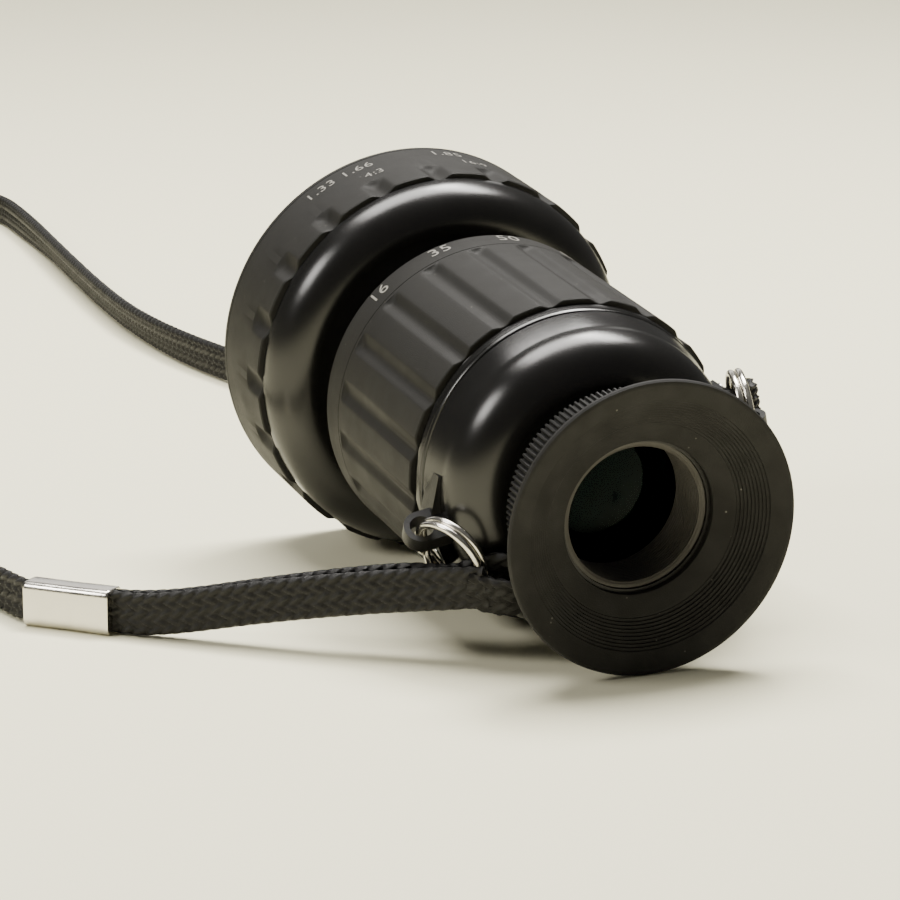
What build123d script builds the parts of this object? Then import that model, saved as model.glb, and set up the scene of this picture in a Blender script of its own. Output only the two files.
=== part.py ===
from build123d import *
import os
from math import atan, cos, degrees, pi, radians, sin, sqrt, tan

os.makedirs("parts", exist_ok=True)

# Millimetres, +Z up, the eyepiece toward -Y. The finder lies on the table on its eyecup and front ring.
# Stations are distances along the optical axis from the eyecup rim. Angles go from the top toward +X.

# Overall sizes
eyecup_r = 20.0
front_r = 28.0
overall_length = 89.1
tube_r = 17.5
tube_wall = 2.0
sleeve_wall = 2.1
zoom_wall = 3.1
sleeve_r = tube_r + sleeve_wall
zoom_r = sleeve_r + zoom_wall

# Named clearances
running = 0.05
gap = 0.3
slide_gap = 0.1

# Eyepiece
eye_tube_r = 11.6
eye_bore_r = eye_tube_r - 1.6
eyecup_depth = 7.0
eyecup_bore_r = eye_bore_r + 0.42
eyecup_lip = 4.7
eye_tube_start = 5.6
eye_tube_end = 30.0
diopter_start = 9.0
diopter_width = 3.6
diopter_teeth = 72
diopter_neck_r = eye_tube_r + 1.4
diopter_r = diopter_neck_r + 2.4
diopter_travel = 1.5
diopter_turn = 60.0

# Rear housing
housing_start = 15.15
housing_plate = 2.0
housing_fillet = 6.5
housing_end = 27.8
housing_bore_r = tube_r - 0.5
housing_flat_r = housing_bore_r - 2.7
housing_rim_r = zoom_r - 0.7

# Zoom ring and its cam
zoom_start = housing_end + gap
zoom_end = 60.5
zoom_flute_end = 54.6
zoom_line = 55.4
zoom_flutes = 20
zoom_flute_turn = 9.0
zoom_flute_depth = 0.8
zoom_flute_r = 1.67
sleeve_start = 33.0
sleeve_end = 53.5
zoom_turn = 40.0
carriage_travel = 5.0
carriage_length = 10.0
carriage_mid = 43.0
carriage_bore_r = tube_r - 5.0
pin_r = 1.2
pin_play = 0.4
pin_count = 2
slot_steps = 22

# Front body and ratio ring
shoulder_start = 68.0
shoulder_fillet = 6.0
shoulder_r = front_r - 0.7
ratio_start = 74.0
ratio_seat_r = front_r - 3.5
ratio_chamfer = 0.3
rim_chamfer = 0.25
ratio_flute_end = 79.2
ratio_flutes = 20
ratio_flute_depth = 0.9
ratio_flute_r = 3.0
ratio_flute_turn = 15.0
front_cavity_r = ratio_seat_r - 2.5
front_body_end = 87.0
tube_end = 80.0
hood_bore_r = front_r - 1.9
retainer_r = hood_bore_r - gap

# Aspect blades
blade_wide = 24.0
blade_tall = 7.0
blade_thick = 0.8
blade_up = 11.5
window_wide = 22.0
window_tall = 17.0

# Lugs and split rings
lug_station = 21.5
lug_eye_up = housing_rim_r + 2.0
lug_left = -103.0
lug_right = 77.0
lug_hole_r = 1.6
lug_wall = 0.8
lug_thick = 2.4
saddle_station = 23.6
saddle_width = 3.6
saddle_r = housing_rim_r + 0.2
saddle_reach = 18.0
screw_back = 13.0
screw_r = 0.8
screw_head_r = 1.1
screw_head_tall = 0.2
ring_mid_r = 5.2
ring_wire = 1.0
ring_pair = 2.1

# Strap and crimps
strap_wide = 6.2
strap_thick = 1.6
crimp_long = 13.0
crimp_tall = 6.25
crimp_wall = 0.5
crimp_mid_z = strap_wide / 2 + 0.03

rise = atan((front_r - eyecup_r) / (ratio_start + ratio_chamfer))
ahead = Vector(0, cos(rise), sin(rise))
up = Vector(0, -sin(rise), cos(rise))
side = Vector(1, 0, 0)
back_y = -(overall_length * cos(rise) + (front_r - rim_chamfer - eyecup_r) * sin(rise)) / 2
rim = Vector(0, back_y, eyecup_r * cos(rise))
main_axis = Axis(rim, ahead)
# Lengthwise sketches have the station as x and the radius as y; sketches across have x up and y to +X.
lengthwise = Plane(origin=rim, x_dir=ahead, z_dir=side)


def across(station):
    return Plane(origin=rim + ahead * station, x_dir=up, z_dir=ahead)


def out_from_axis(angle):
    return up * cos(radians(angle)) + side * sin(radians(angle))


def around_axis(angle):
    return side * cos(radians(angle)) - up * sin(radians(angle))


def sag(depth, edge, at):
    sphere = (edge**2 + depth**2) / (2 * depth)
    return sphere - sqrt(sphere**2 - at**2)


def point(station, radius, angle):
    return rim + ahead * station + out_from_axis(angle) * radius


# Eyecup: a soft rubber funnel with moulded steps, pushed over the eyepiece tube.
with BuildPart() as eyecup:
    with BuildSketch(lengthwise):
        with BuildLine():
            Polyline(
                (0, eyecup_r),
                (1.05, 16.9),
                (1.35, 16.9),
                (1.6, 16.2),
                (1.85, 16.2),
                (2.1, 15.5),
                (2.35, 15.5),
                (2.6, 14.8),
                (2.85, 14.8),
                (3.1, 14.1),
                (3.35, 14.1),
                (3.6, 13.3),
                (eyecup_lip, eyecup_bore_r),
                (eye_tube_start, eyecup_bore_r),
                (eye_tube_start, eye_tube_r),
                (eyecup_depth, eye_tube_r),
                (eyecup_depth, eye_tube_r + 1.5),
                (eyecup_depth - 1.2, eye_tube_r + 1.9),
                (2.6, 18.2),
                (0.8, eyecup_r),
                close=True,
            )
        make_face()
    revolve(axis=main_axis)
eyecup.part.label = "eyecup"
export_step(eyecup.part, "parts/eyecup.step")

# Eyepiece tube: slides in the diopter ring and carries the eye and field lenses.
with BuildPart() as eyepiece_tube:
    with BuildSketch(across(eye_tube_start)):
        Circle(eye_tube_r)
        Circle(eye_bore_r, mode=Mode.SUBTRACT)
    extrude(amount=eye_tube_end - eye_tube_start)
eyepiece_tube.part.label = "eyepiece_tube"
export_step(eyepiece_tube.part, "parts/eyepiece_tube.step")

# Eye lens retainer: a ringed tube screwed into the bore behind the eye lens.
eye_lens_start = 14.0
eye_lens_end = 17.5
with BuildPart() as eye_lens_retainer:
    with BuildSketch(across(eye_tube_start + 0.4)):
        Circle(eye_bore_r)
        Circle(eye_bore_r - 0.8, mode=Mode.SUBTRACT)
    extrude(amount=eye_lens_start - eye_tube_start - 0.4)
eye_lens_retainer.part.label = "eye_lens_retainer"
export_step(eye_lens_retainer.part, "parts/eye_lens_retainer.step")

# Eye lens: a biconvex glass with a flat edge land.
with BuildPart() as eye_lens:
    with BuildSketch(lengthwise):
        with BuildLine():
            Line((eye_lens_start - 0.9, 0), (eye_lens_end + 0.9, 0))
            ThreePointArc(
                (eye_lens_end + 0.9, 0),
                (eye_lens_end + 0.9 - sag(0.9, eye_bore_r - 1.0, 4.5), 4.5),
                (eye_lens_end, eye_bore_r - 1.0),
            )
            Polyline(
                (eye_lens_end, eye_bore_r - 1.0),
                (eye_lens_end, eye_bore_r),
                (eye_lens_start, eye_bore_r),
                (eye_lens_start, eye_bore_r - 1.0),
            )
            ThreePointArc(
                (eye_lens_start, eye_bore_r - 1.0),
                (eye_lens_start - 0.9 + sag(0.9, eye_bore_r - 1.0, 4.5), 4.5),
                (eye_lens_start - 0.9, 0),
            )
        make_face()
    revolve(axis=main_axis)
eye_lens.part.label = "eye_lens"
export_step(eye_lens.part, "parts/eye_lens.step")

# Lens spacer: holds the eye and field lenses apart.
field_lens_start = 24.0
field_lens_end = 26.5
with BuildPart() as lens_spacer:
    with BuildSketch(across(eye_lens_end)):
        Circle(eye_bore_r)
        Circle(eye_bore_r - 1.0, mode=Mode.SUBTRACT)
    extrude(amount=field_lens_start - eye_lens_end)
lens_spacer.part.label = "lens_spacer"
export_step(lens_spacer.part, "parts/lens_spacer.step")

# Field lens: plano-convex, its curved face forward.
with BuildPart() as field_lens:
    with BuildSketch(lengthwise):
        with BuildLine():
            Line((field_lens_start, 0), (field_lens_end + 0.8, 0))
            ThreePointArc(
                (field_lens_end + 0.8, 0),
                (field_lens_end + 0.8 - sag(0.8, eye_bore_r - 1.5, 4.25), 4.25),
                (field_lens_end, eye_bore_r - 1.5),
            )
            Polyline(
                (field_lens_end, eye_bore_r - 1.5),
                (field_lens_end, eye_bore_r),
                (field_lens_start, eye_bore_r),
                (field_lens_start, 0),
            )
        make_face()
    revolve(axis=main_axis)
field_lens.part.label = "field_lens"
export_step(field_lens.part, "parts/field_lens.step")

# Field stop: the ring that closes the front of the eyepiece tube.
with BuildPart() as field_stop:
    with BuildSketch(across(field_lens_end)):
        Circle(eye_bore_r)
        Circle(eye_bore_r - 1.4, mode=Mode.SUBTRACT)
    extrude(amount=eye_tube_end - field_lens_end)
field_stop.part.label = "field_stop"
export_step(field_stop.part, "parts/field_stop.step")

# Diopter ring: a knurled ring whose neck turns in the back plate of the rear housing.
diopter_neck_end = housing_start + housing_plate + gap + 1.2
with BuildPart() as diopter_ring:
    with BuildSketch(across(diopter_start)):
        Circle(diopter_r)
        with PolarLocations(diopter_r, diopter_teeth):
            RegularPolygon(0.5, 4, mode=Mode.SUBTRACT)
        Circle(eye_tube_r + running, mode=Mode.SUBTRACT)
    extrude(amount=diopter_width)
    with BuildSketch(across(diopter_start + diopter_width)):
        Circle(diopter_neck_r)
        Circle(eye_tube_r + running, mode=Mode.SUBTRACT)
    extrude(amount=diopter_neck_end - diopter_start - diopter_width)
diopter_ring.part.label = "diopter_ring"
export_step(diopter_ring.part, "parts/diopter_ring.step")

# Diopter clip: keeps the neck of the diopter ring in the back plate.
with BuildPart() as diopter_clip:
    with BuildSketch(across(diopter_neck_end - 1.2)):
        Circle(diopter_neck_r + 1.6)
        Circle(diopter_neck_r, mode=Mode.SUBTRACT)
    extrude(amount=1.0)
diopter_clip.part.label = "diopter_clip"
export_step(diopter_clip.part, "parts/diopter_clip.step")

# Rear housing: a turned cup with a large rounded back edge and a fine groove before its rim.
shoulder_station = housing_start + housing_fillet
shoulder_top_r = housing_flat_r + housing_fillet
half_turn = housing_fillet * sin(pi / 4)
tube_start = 24.3
with BuildPart() as rear_housing:
    with BuildSketch(lengthwise):
        with BuildLine():
            Line((housing_start, diopter_neck_r + running), (housing_start, housing_flat_r))
            ThreePointArc(
                (housing_start, housing_flat_r),
                (shoulder_station - half_turn, housing_flat_r + half_turn),
                (shoulder_station, shoulder_top_r),
            )
            Polyline(
                (shoulder_station, shoulder_top_r),
                (25.7, housing_rim_r - 0.4),
                (25.8, housing_rim_r - 0.65),
                (26.1, housing_rim_r - 0.65),
                (26.2, housing_rim_r - 0.24),
                (26.9, housing_rim_r),
                (housing_end, housing_rim_r),
                (housing_end, tube_r),
                (tube_start, tube_r),
                (tube_start, housing_bore_r),
                (housing_start + housing_plate, housing_bore_r),
                (housing_start + housing_plate, diopter_neck_r + running),
                (housing_start, diopter_neck_r + running),
            )
        make_face()
    revolve(axis=main_axis)
    # Tapped holes for the lug screws.
    for angle in (lug_left - screw_back, lug_right - screw_back):
        hole_plane = Plane(origin=point(saddle_station, saddle_r - 3.2, angle), z_dir=out_from_axis(angle))
        with BuildSketch(hole_plane):
            Circle(screw_r)
        extrude(amount=4.0, mode=Mode.SUBTRACT)
rear_housing.part.label = "rear_housing"
export_step(rear_housing.part, "parts/rear_housing.step")

# Main tube: the barrel that everything is built on, with one straight slot for each cam pin.
pin_slot_half = carriage_travel + pin_r + pin_play
with BuildPart() as main_tube:
    with BuildSketch(across(tube_start)):
        Circle(tube_r)
        Circle(tube_r - tube_wall, mode=Mode.SUBTRACT)
    extrude(amount=tube_end - tube_start)
    for index in range(pin_count):
        angle = index * 360 / pin_count + 90
        slot_plane = Plane(
            origin=point(carriage_mid, tube_r - tube_wall - 1, angle),
            x_dir=ahead,
            z_dir=out_from_axis(angle),
        )
        with BuildSketch(slot_plane):
            SlotOverall(2 * pin_slot_half, 2 * (pin_r + slide_gap))
        extrude(amount=tube_wall + 2, mode=Mode.SUBTRACT)
main_tube.part.label = "main_tube"
export_step(main_tube.part, "parts/main_tube.step")

# Zoom ring: the fluted grip ring with a plain rim for its scale.
with BuildPart() as zoom_ring:
    with BuildSketch(lengthwise):
        with BuildLine():
            Polyline(
                (zoom_start, sleeve_r),
                (zoom_start, zoom_r - 0.2),
                (zoom_start + 0.2, zoom_r),
                (zoom_line, zoom_r),
                (zoom_line + 0.1, zoom_r - 0.1),
                (zoom_line + 0.2, zoom_r),
                (zoom_end - 0.4, zoom_r - 0.05),
                (zoom_end, zoom_r - 0.4),
                (zoom_end, sleeve_r),
                close=True,
            )
        make_face()
    revolve(axis=main_axis)
    with BuildSketch(across(zoom_start - 1)):
        with PolarLocations(
            zoom_r - zoom_flute_depth + zoom_flute_r, zoom_flutes, start_angle=zoom_flute_turn
        ):
            Circle(zoom_flute_r)
    extrude(amount=zoom_flute_end - zoom_start + 1, mode=Mode.SUBTRACT)
zoom_ring.part.label = "zoom_ring"
export_step(zoom_ring.part, "parts/zoom_ring.step")

# Cam sleeve: fixed inside the zoom ring, with one sloping slot for each cam pin.
with BuildPart() as cam_sleeve:
    with BuildSketch(across(sleeve_start)):
        Circle(sleeve_r)
        Circle(tube_r + running, mode=Mode.SUBTRACT)
    extrude(amount=sleeve_end - sleeve_start)
    for index in range(pin_count):
        for step in range(slot_steps + 1):
            part_way = 2 * step / slot_steps - 1
            angle = index * 360 / pin_count + 90 + part_way * zoom_turn
            hole_plane = Plane(
                origin=point(carriage_mid - part_way * carriage_travel, tube_r - 1, angle),
                z_dir=out_from_axis(angle),
            )
            with BuildSketch(hole_plane):
                Circle(pin_r + pin_play)
            extrude(amount=sleeve_r - tube_r + 2, mode=Mode.SUBTRACT)
cam_sleeve.part.label = "cam_sleeve"
export_step(cam_sleeve.part, "parts/cam_sleeve.step")

# Zoom carriage: slides in the main tube and carries the zoom lens.
carriage_r = tube_r - tube_wall - running
carriage_start = carriage_mid - carriage_length / 2
pin_seat_r = carriage_bore_r + 1.2
with BuildPart() as zoom_carriage:
    with BuildSketch(across(carriage_start)):
        Circle(carriage_r)
        Circle(carriage_bore_r, mode=Mode.SUBTRACT)
    extrude(amount=carriage_length)
    with BuildSketch(across(carriage_start)):
        Circle(carriage_bore_r)
        Circle(carriage_bore_r - 1.0, mode=Mode.SUBTRACT)
    extrude(amount=2.0)
    for index in range(pin_count):
        angle = index * 360 / pin_count + 90
        with BuildSketch(Plane(origin=point(carriage_mid, pin_seat_r, angle), z_dir=out_from_axis(angle))):
            Circle(pin_r)
        extrude(amount=5, mode=Mode.SUBTRACT)
zoom_carriage.part.label = "zoom_carriage"
export_step(zoom_carriage.part, "parts/zoom_carriage.step")

# Zoom lens: a biconcave glass seated on the lip of the carriage.
zoom_lens_start = carriage_start + 2.0
zoom_lens_end = zoom_lens_start + 4.0
with BuildPart() as zoom_lens:
    with BuildSketch(lengthwise):
        with BuildLine():
            Line((zoom_lens_start + 1.0, 0), (zoom_lens_end - 1.0, 0))
            ThreePointArc(
                (zoom_lens_end - 1.0, 0),
                (zoom_lens_end - 1.0 + sag(1.0, carriage_bore_r - 1.5, 5.5), 5.5),
                (zoom_lens_end, carriage_bore_r - 1.5),
            )
            Polyline(
                (zoom_lens_end, carriage_bore_r - 1.5),
                (zoom_lens_end, carriage_bore_r),
                (zoom_lens_start, carriage_bore_r),
                (zoom_lens_start, carriage_bore_r - 1.5),
            )
            ThreePointArc(
                (zoom_lens_start, carriage_bore_r - 1.5),
                (zoom_lens_start + 1.0 - sag(1.0, carriage_bore_r - 1.5, 5.5), 5.5),
                (zoom_lens_start + 1.0, 0),
            )
        make_face()
    revolve(axis=main_axis)
zoom_lens.part.label = "zoom_lens"
export_step(zoom_lens.part, "parts/zoom_lens.step")

# Zoom lens retainer: a ring that holds the zoom lens in the carriage.
with BuildPart() as zoom_lens_retainer:
    with BuildSketch(across(zoom_lens_end)):
        Circle(carriage_bore_r)
        Circle(carriage_bore_r - 1.2, mode=Mode.SUBTRACT)
    extrude(amount=2.0)
zoom_lens_retainer.part.label = "zoom_lens_retainer"
export_step(zoom_lens_retainer.part, "parts/zoom_lens_retainer.step")

# Cam pins: reach from the carriage through the tube slots into the cam slots.
with BuildPart() as cam_pins:
    for index in range(pin_count):
        angle = index * 360 / pin_count + 90
        pin_plane = Plane(origin=point(carriage_mid, pin_seat_r, angle), z_dir=out_from_axis(angle))
        with BuildSketch(pin_plane):
            Circle(pin_r)
        extrude(amount=sleeve_r - gap - pin_seat_r)
cam_pins.part.label = "cam_pins"
export_step(cam_pins.part, "parts/cam_pins.step")

# Front body: a wide turned head with a rounded shoulder, fixed on the main tube.
shoulder_mid = shoulder_start + shoulder_fillet
shoulder_flat_r = shoulder_r - shoulder_fillet
shoulder_half = shoulder_fillet * sin(pi / 4)
mask_start = tube_end + 1.0
with BuildPart() as front_body:
    with BuildSketch(lengthwise):
        with BuildLine():
            Line((shoulder_start, tube_r), (shoulder_start, shoulder_flat_r))
            ThreePointArc(
                (shoulder_start, shoulder_flat_r),
                (shoulder_mid - shoulder_half, shoulder_flat_r + shoulder_half),
                (shoulder_mid - gap, shoulder_r),
            )
            Polyline(
                (shoulder_mid - gap, shoulder_r),
                (shoulder_mid - gap, ratio_seat_r),
                (front_body_end, ratio_seat_r),
                (front_body_end, front_cavity_r),
                (mask_start, front_cavity_r),
                (mask_start, tube_r),
                (shoulder_start, tube_r),
            )
        make_face()
    revolve(axis=main_axis)
front_body.part.label = "front_body"
export_step(front_body.part, "parts/front_body.step")

# Objective lens: the large front glass, plano-convex.
objective_start = 73.0
objective_end = 77.0
objective_r = tube_r - tube_wall
with BuildPart() as objective_lens:
    with BuildSketch(lengthwise):
        with BuildLine():
            Line((objective_start, 0), (objective_end + 1.4, 0))
            ThreePointArc(
                (objective_end + 1.4, 0),
                (objective_end + 1.4 - sag(1.4, objective_r - 1.5, 7.0), 7.0),
                (objective_end, objective_r - 1.5),
            )
            Polyline(
                (objective_end, objective_r - 1.5),
                (objective_end, objective_r),
                (objective_start, objective_r),
                (objective_start, 0),
            )
        make_face()
    revolve(axis=main_axis)
objective_lens.part.label = "objective_lens"
export_step(objective_lens.part, "parts/objective_lens.step")

# Objective retainer: a threaded ring at the front end of the main tube.
with BuildPart() as objective_retainer:
    with BuildSketch(across(objective_end)):
        Circle(objective_r)
        Circle(objective_r - 1.3, mode=Mode.SUBTRACT)
    extrude(amount=tube_end - objective_end)
objective_retainer.part.label = "objective_retainer"
export_step(objective_retainer.part, "parts/objective_retainer.step")

# Frame mask: a plate with the full picture window.
with BuildPart() as frame_mask:
    with BuildSketch(across(mask_start)):
        Circle(front_cavity_r)
        Rectangle(window_tall, window_wide, mode=Mode.SUBTRACT)
    extrude(amount=1.0)
frame_mask.part.label = "frame_mask"
export_step(frame_mask.part, "parts/frame_mask.step")

# Blade rails: two straight guides beside the aspect blades.
blade_start = mask_start + 1.0 + slide_gap
rail_depth = 2 * slide_gap + blade_thick
rail_mid = blade_wide / 2 + slide_gap + 1.0
with BuildPart() as blade_rails:
    with BuildSketch(across(mask_start + 1.0)):
        with Locations((0, rail_mid), (0, -rail_mid)):
            Rectangle(32.0, 2.0)
    extrude(amount=rail_depth)
blade_rails.part.label = "blade_rails"
export_step(blade_rails.part, "parts/blade_rails.step")

# Aspect blades: two thin plates that close the picture from above and below.
with BuildPart() as upper_blade:
    with BuildSketch(across(blade_start)):
        with Locations((blade_up, 0)):
            Rectangle(blade_tall, blade_wide)
    extrude(amount=blade_thick)
upper_blade.part.label = "upper_blade"
export_step(upper_blade.part, "parts/upper_blade.step")

with BuildPart() as lower_blade:
    with BuildSketch(across(blade_start)):
        with Locations((-blade_up, 0)):
            Rectangle(blade_tall, blade_wide)
    extrude(amount=blade_thick)
lower_blade.part.label = "lower_blade"
export_step(lower_blade.part, "parts/lower_blade.step")

# Front glass: a flat protective window in front of the blades.
glass_start = mask_start + 1.0 + rail_depth
with BuildPart() as front_glass:
    with BuildSketch(across(glass_start)):
        Circle(front_cavity_r)
    extrude(amount=1.5)
front_glass.part.label = "front_glass"
export_step(front_glass.part, "parts/front_glass.step")

# Glass ring: presses the front glass against the rails.
with BuildPart() as glass_ring:
    with BuildSketch(across(glass_start + 1.5)):
        Circle(front_cavity_r)
        Circle(front_cavity_r - 1.5, mode=Mode.SUBTRACT)
    extrude(amount=front_body_end - glass_start - 1.5)
glass_ring.part.label = "glass_ring"
export_step(glass_ring.part, "parts/glass_ring.step")

# Ratio ring: the wide fluted front ring that carries the aspect scale.
web_end = front_body_end - gap
with BuildPart() as ratio_ring:
    with BuildSketch(lengthwise):
        with BuildLine():
            Polyline(
                (ratio_start, ratio_seat_r + running),
                (ratio_start, front_r - ratio_chamfer),
                (ratio_start + ratio_chamfer, front_r),
                (overall_length - rim_chamfer, front_r),
                (overall_length, front_r - rim_chamfer),
                (overall_length, hood_bore_r),
                (web_end, hood_bore_r),
                (web_end, ratio_seat_r + running),
                close=True,
            )
        make_face()
    revolve(axis=main_axis)
    with BuildSketch(across(ratio_start - 1)):
        with PolarLocations(
            front_r - ratio_flute_depth + ratio_flute_r, ratio_flutes, start_angle=ratio_flute_turn
        ):
            Circle(ratio_flute_r)
    extrude(amount=ratio_flute_end - ratio_start + 1, mode=Mode.SUBTRACT)
ratio_ring.part.label = "ratio_ring"
export_step(ratio_ring.part, "parts/ratio_ring.step")

# Ratio retainer: the front ring that keeps the ratio ring on the front body.
with BuildPart() as ratio_retainer:
    with BuildSketch(across(front_body_end)):
        Circle(retainer_r)
        Circle(front_cavity_r - 1.5, mode=Mode.SUBTRACT)
    extrude(amount=1.2)
ratio_retainer.part.label = "ratio_retainer"
export_step(ratio_retainer.part, "parts/ratio_retainer.step")

# Lugs: a curved saddle on the housing band with an upright eye that its split ring passes through.
# Each eye faces along the wire of its ring, given as parts ahead, outward and around.
left_hang = (-0.72, -0.435, -0.53)
left_wire = (0.575, 0.034, -0.817)
right_hang = (0.968, 0.25, 0.0)
right_wire = (0.0, 0.0, 1.0)


def mixed(parts, angle):
    return (ahead * parts[0] + out_from_axis(angle) * parts[1] + around_axis(angle) * parts[2]).normalized()


def polar(radius, angle):
    return (radius * cos(radians(angle)), radius * sin(radians(angle)))


with BuildPart() as lug_left_part:
    with BuildSketch(across(saddle_station - saddle_width / 2)):
        with BuildLine():
            ThreePointArc(
                polar(saddle_r, lug_left + 4),
                polar(saddle_r, lug_left - 6),
                polar(saddle_r, lug_left - 16),
            )
            Polyline(
                polar(saddle_r, lug_left - 16),
                polar(saddle_r - 3, lug_left - 16),
                polar(saddle_r - 3.5, lug_left),
                polar(saddle_r - 2.5, lug_left + saddle_reach),
                polar(saddle_r - 1, lug_left + saddle_reach),
                polar(saddle_r, lug_left + 4),
            )
        make_face()
    extrude(amount=saddle_width)
    left_eye = point(lug_station, lug_eye_up, lug_left)
    left_axis = mixed(left_wire, lug_left)
    left_down = -out_from_axis(lug_left)
    left_plane = Plane(
        origin=left_eye - left_axis * lug_thick / 2,
        x_dir=left_down - left_axis * left_down.dot(left_axis),
        z_dir=left_axis,
    )
    with BuildSketch(left_plane):
        Circle(lug_hole_r + lug_wall)
        with Locations((2.2, 0)):
            Rectangle(4.4, 2 * (lug_hole_r + lug_wall))
    extrude(amount=lug_thick)
    with BuildSketch(left_plane):
        Circle(lug_hole_r)
    extrude(amount=lug_thick, mode=Mode.SUBTRACT)
    screw_plane = Plane(
        origin=point(saddle_station, saddle_r - 4, lug_left - screw_back),
        z_dir=out_from_axis(lug_left - screw_back),
    )
    with BuildSketch(screw_plane):
        Circle(screw_r)
    extrude(amount=6, mode=Mode.SUBTRACT)
    add(rear_housing.part, mode=Mode.SUBTRACT)
lug_left_part.part.label = "lug_left"
export_step(lug_left_part.part, "parts/lug_left.step")

with BuildPart() as lug_right_part:
    with BuildSketch(across(saddle_station - saddle_width / 2)):
        with BuildLine():
            ThreePointArc(
                polar(saddle_r, lug_right + 4),
                polar(saddle_r, lug_right - 6),
                polar(saddle_r, lug_right - 16),
            )
            Polyline(
                polar(saddle_r, lug_right - 16),
                polar(saddle_r - 3, lug_right - 16),
                polar(saddle_r - 3.5, lug_right),
                polar(saddle_r - 2.5, lug_right + saddle_reach),
                polar(saddle_r - 1, lug_right + saddle_reach),
                polar(saddle_r, lug_right + 4),
            )
        make_face()
    extrude(amount=saddle_width)
    right_eye = point(lug_station, lug_eye_up, lug_right)
    right_axis = mixed(right_wire, lug_right)
    right_plane = Plane(
        origin=right_eye - right_axis * lug_thick / 2,
        x_dir=-out_from_axis(lug_right),
        z_dir=right_axis,
    )
    with BuildSketch(right_plane):
        Circle(lug_hole_r + lug_wall)
        with Locations((2.2, 0)):
            Rectangle(4.4, 2 * (lug_hole_r + lug_wall))
    extrude(amount=lug_thick)
    with BuildSketch(right_plane):
        Circle(lug_hole_r)
    extrude(amount=lug_thick, mode=Mode.SUBTRACT)
    screw_plane = Plane(
        origin=point(saddle_station, saddle_r - 4, lug_right - screw_back),
        z_dir=out_from_axis(lug_right - screw_back),
    )
    with BuildSketch(screw_plane):
        Circle(screw_r)
    extrude(amount=6, mode=Mode.SUBTRACT)
    add(rear_housing.part, mode=Mode.SUBTRACT)
lug_right_part.part.label = "lug_right"
export_step(lug_right_part.part, "parts/lug_right.step")

# Lug screws: one small pan-head screw through each saddle into the housing.
with BuildPart() as lug_screws:
    for angle in (lug_left - screw_back, lug_right - screw_back):
        with BuildSketch(Plane(origin=point(saddle_station, saddle_r, angle), z_dir=out_from_axis(angle))):
            Circle(screw_head_r)
        extrude(amount=screw_head_tall)
        screw_foot = point(saddle_station, saddle_r - 3.2, angle)
        with BuildSketch(Plane(origin=screw_foot, z_dir=out_from_axis(angle))):
            Circle(screw_r)
        extrude(amount=3.2)
lug_screws.part.label = "lug_screws"
export_step(lug_screws.part, "parts/lug_screws.step")

# Split rings: two turns of spring wire lying against each other, with the groove between the turns.
left_out = mixed(left_hang, lug_left)
left_ring_mid = left_eye + left_out * ring_mid_r
left_ring_axis = left_out.cross(left_axis).normalized()
right_out = mixed(right_hang, lug_right)
right_ring_mid = right_eye + right_out * ring_mid_r
right_ring_axis = right_out.cross(right_axis).normalized()
half_pair = ring_pair / 2
half_wire = ring_wire / 2

with BuildPart() as split_ring_left:
    with BuildSketch(Plane(origin=left_ring_mid, x_dir=left_out, z_dir=left_out.cross(left_ring_axis))):
        with BuildLine():
            Polyline(
                (ring_mid_r - half_wire, -half_pair + 0.3),
                (ring_mid_r - half_wire + 0.3, -half_pair),
                (ring_mid_r + half_wire - 0.3, -half_pair),
                (ring_mid_r + half_wire, -half_pair + 0.3),
                (ring_mid_r + half_wire, -0.3),
                (ring_mid_r + half_wire - 0.3, 0),
                (ring_mid_r + half_wire, 0.3),
                (ring_mid_r + half_wire, half_pair - 0.3),
                (ring_mid_r + half_wire - 0.3, half_pair),
                (ring_mid_r - half_wire + 0.3, half_pair),
                (ring_mid_r - half_wire, half_pair - 0.3),
                close=True,
            )
        make_face()
    revolve(axis=Axis(left_ring_mid, left_ring_axis))
split_ring_left.part.label = "split_ring_left"
export_step(split_ring_left.part, "parts/split_ring_left.step")

with BuildPart() as split_ring_right:
    with BuildSketch(Plane(origin=right_ring_mid, x_dir=right_out, z_dir=right_out.cross(right_ring_axis))):
        with BuildLine():
            Polyline(
                (ring_mid_r - half_wire, -half_pair + 0.3),
                (ring_mid_r - half_wire + 0.3, -half_pair),
                (ring_mid_r + half_wire - 0.3, -half_pair),
                (ring_mid_r + half_wire, -half_pair + 0.3),
                (ring_mid_r + half_wire, -0.3),
                (ring_mid_r + half_wire - 0.3, 0),
                (ring_mid_r + half_wire, 0.3),
                (ring_mid_r + half_wire, half_pair - 0.3),
                (ring_mid_r + half_wire - 0.3, half_pair),
                (ring_mid_r - half_wire + 0.3, half_pair),
                (ring_mid_r - half_wire, half_pair - 0.3),
                close=True,
            )
        make_face()
    revolve(axis=Axis(right_ring_mid, right_ring_axis))
split_ring_right.part.label = "split_ring_right"
export_step(split_ring_right.part, "parts/split_ring_right.step")

# Crimps: flat sleeves pressed round the strap and its folded end, standing on edge on the table.
left_mouth = Vector(-57.6, 2.7, crimp_mid_z)
left_run = Vector(-0.692, 0.722, 0).normalized()
right_mouth = Vector(33.8, 28.3, crimp_mid_z)
right_run = Vector(-0.1, 0.995, 0).normalized()
crimp_inner_wide = 2 * strap_thick
crimp_inner_tall = crimp_tall - 2 * crimp_wall

with BuildPart() as crimp_left:
    with BuildSketch(Plane(origin=left_mouth, x_dir=Vector(0, 0, 1), z_dir=left_run)):
        RectangleRounded(crimp_tall, crimp_inner_wide + 2 * crimp_wall, 0.6)
        Rectangle(crimp_inner_tall, crimp_inner_wide, mode=Mode.SUBTRACT)
    extrude(amount=crimp_long)
crimp_left.part.label = "crimp_left"
export_step(crimp_left.part, "parts/crimp_left.step")

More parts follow.
